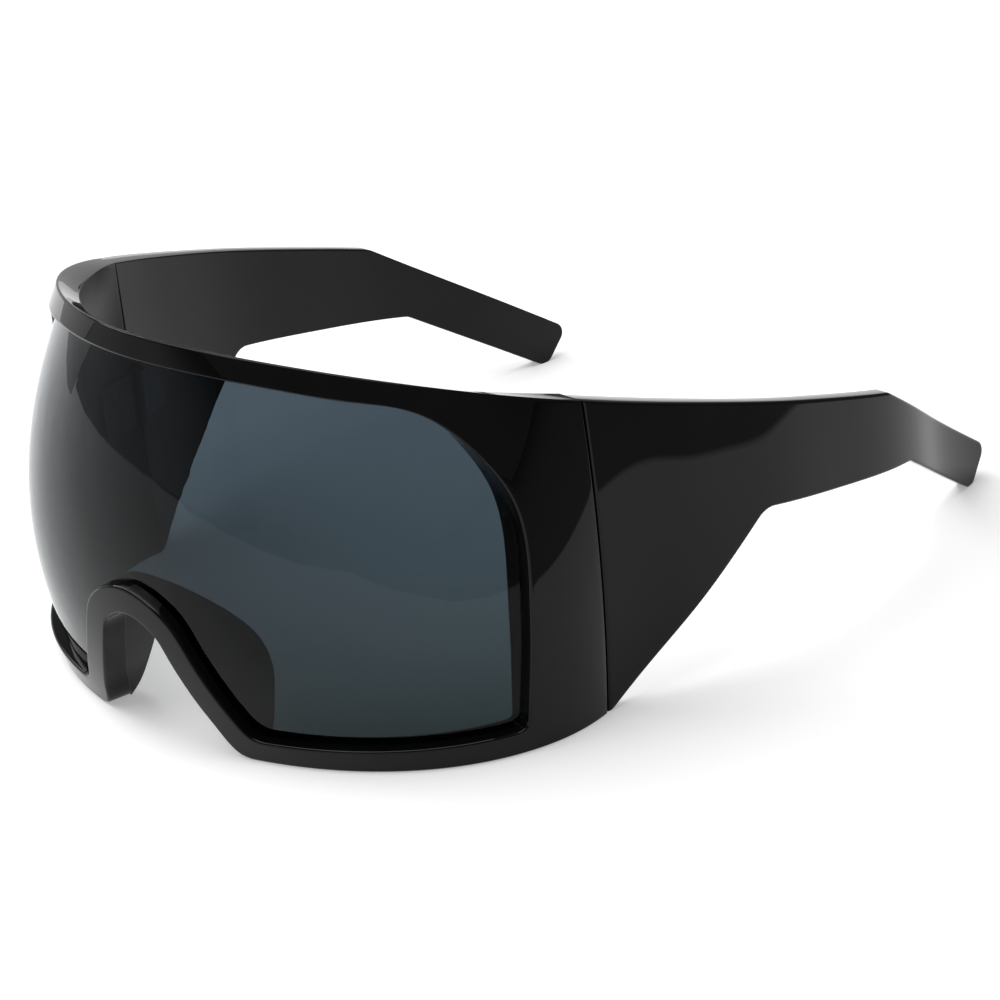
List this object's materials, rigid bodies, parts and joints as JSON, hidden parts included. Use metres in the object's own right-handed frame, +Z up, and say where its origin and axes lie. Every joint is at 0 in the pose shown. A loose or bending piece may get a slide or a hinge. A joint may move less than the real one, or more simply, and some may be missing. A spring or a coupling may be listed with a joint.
{
  "type": "shield sunglasses",
  "caption": "Oversized wrap shield sunglasses: a one-piece tinted lens in a moulded black front, with deep folding temples that slant to narrow bent tips.",
  "frame": {"origin": "middle of the box on plan, at the level of the table that the open glasses stand on", "axes": "+Z up, -Y the way the lens faces, +Y along the temples, +X towards the wearer's left"},
  "size_m": [0.1588, 0.1848, 0.0849],
  "materials": {
    "frame_black": "polished black",
    "lens_tint": "tinted, clear",
    "nose_black": "satin black",
    "hinge_metal": "plated"
  },
  "bodies": {
    "front": {"front_frame": "frame_black", "shield_lens": "lens_tint", "nose_piece": "nose_black", "left_front_leaf": "hinge_metal", "right_front_leaf": "hinge_metal", "left_hinge_screw": "hinge_metal", "right_hinge_screw": "hinge_metal"},
    "left_arm": {"left_temple": "frame_black", "left_temple_leaf": "hinge_metal"},
    "right_arm": {"right_temple": "frame_black", "right_temple_leaf": "hinge_metal"}
  },
  "joints": [
    {"name": "left_fold", "type": "hinge", "parent": "front", "child": "left_arm", "pos_m": [0.06401, -0.03117, 0.037], "axis": [0, 0, 1], "range_deg": [0, 90]},
    {"name": "right_fold", "type": "hinge", "parent": "front", "child": "right_arm", "pos_m": [-0.06401, -0.03117, 0.037], "axis": [0, 0, -1], "range_deg": [0, 80]}
  ]
}
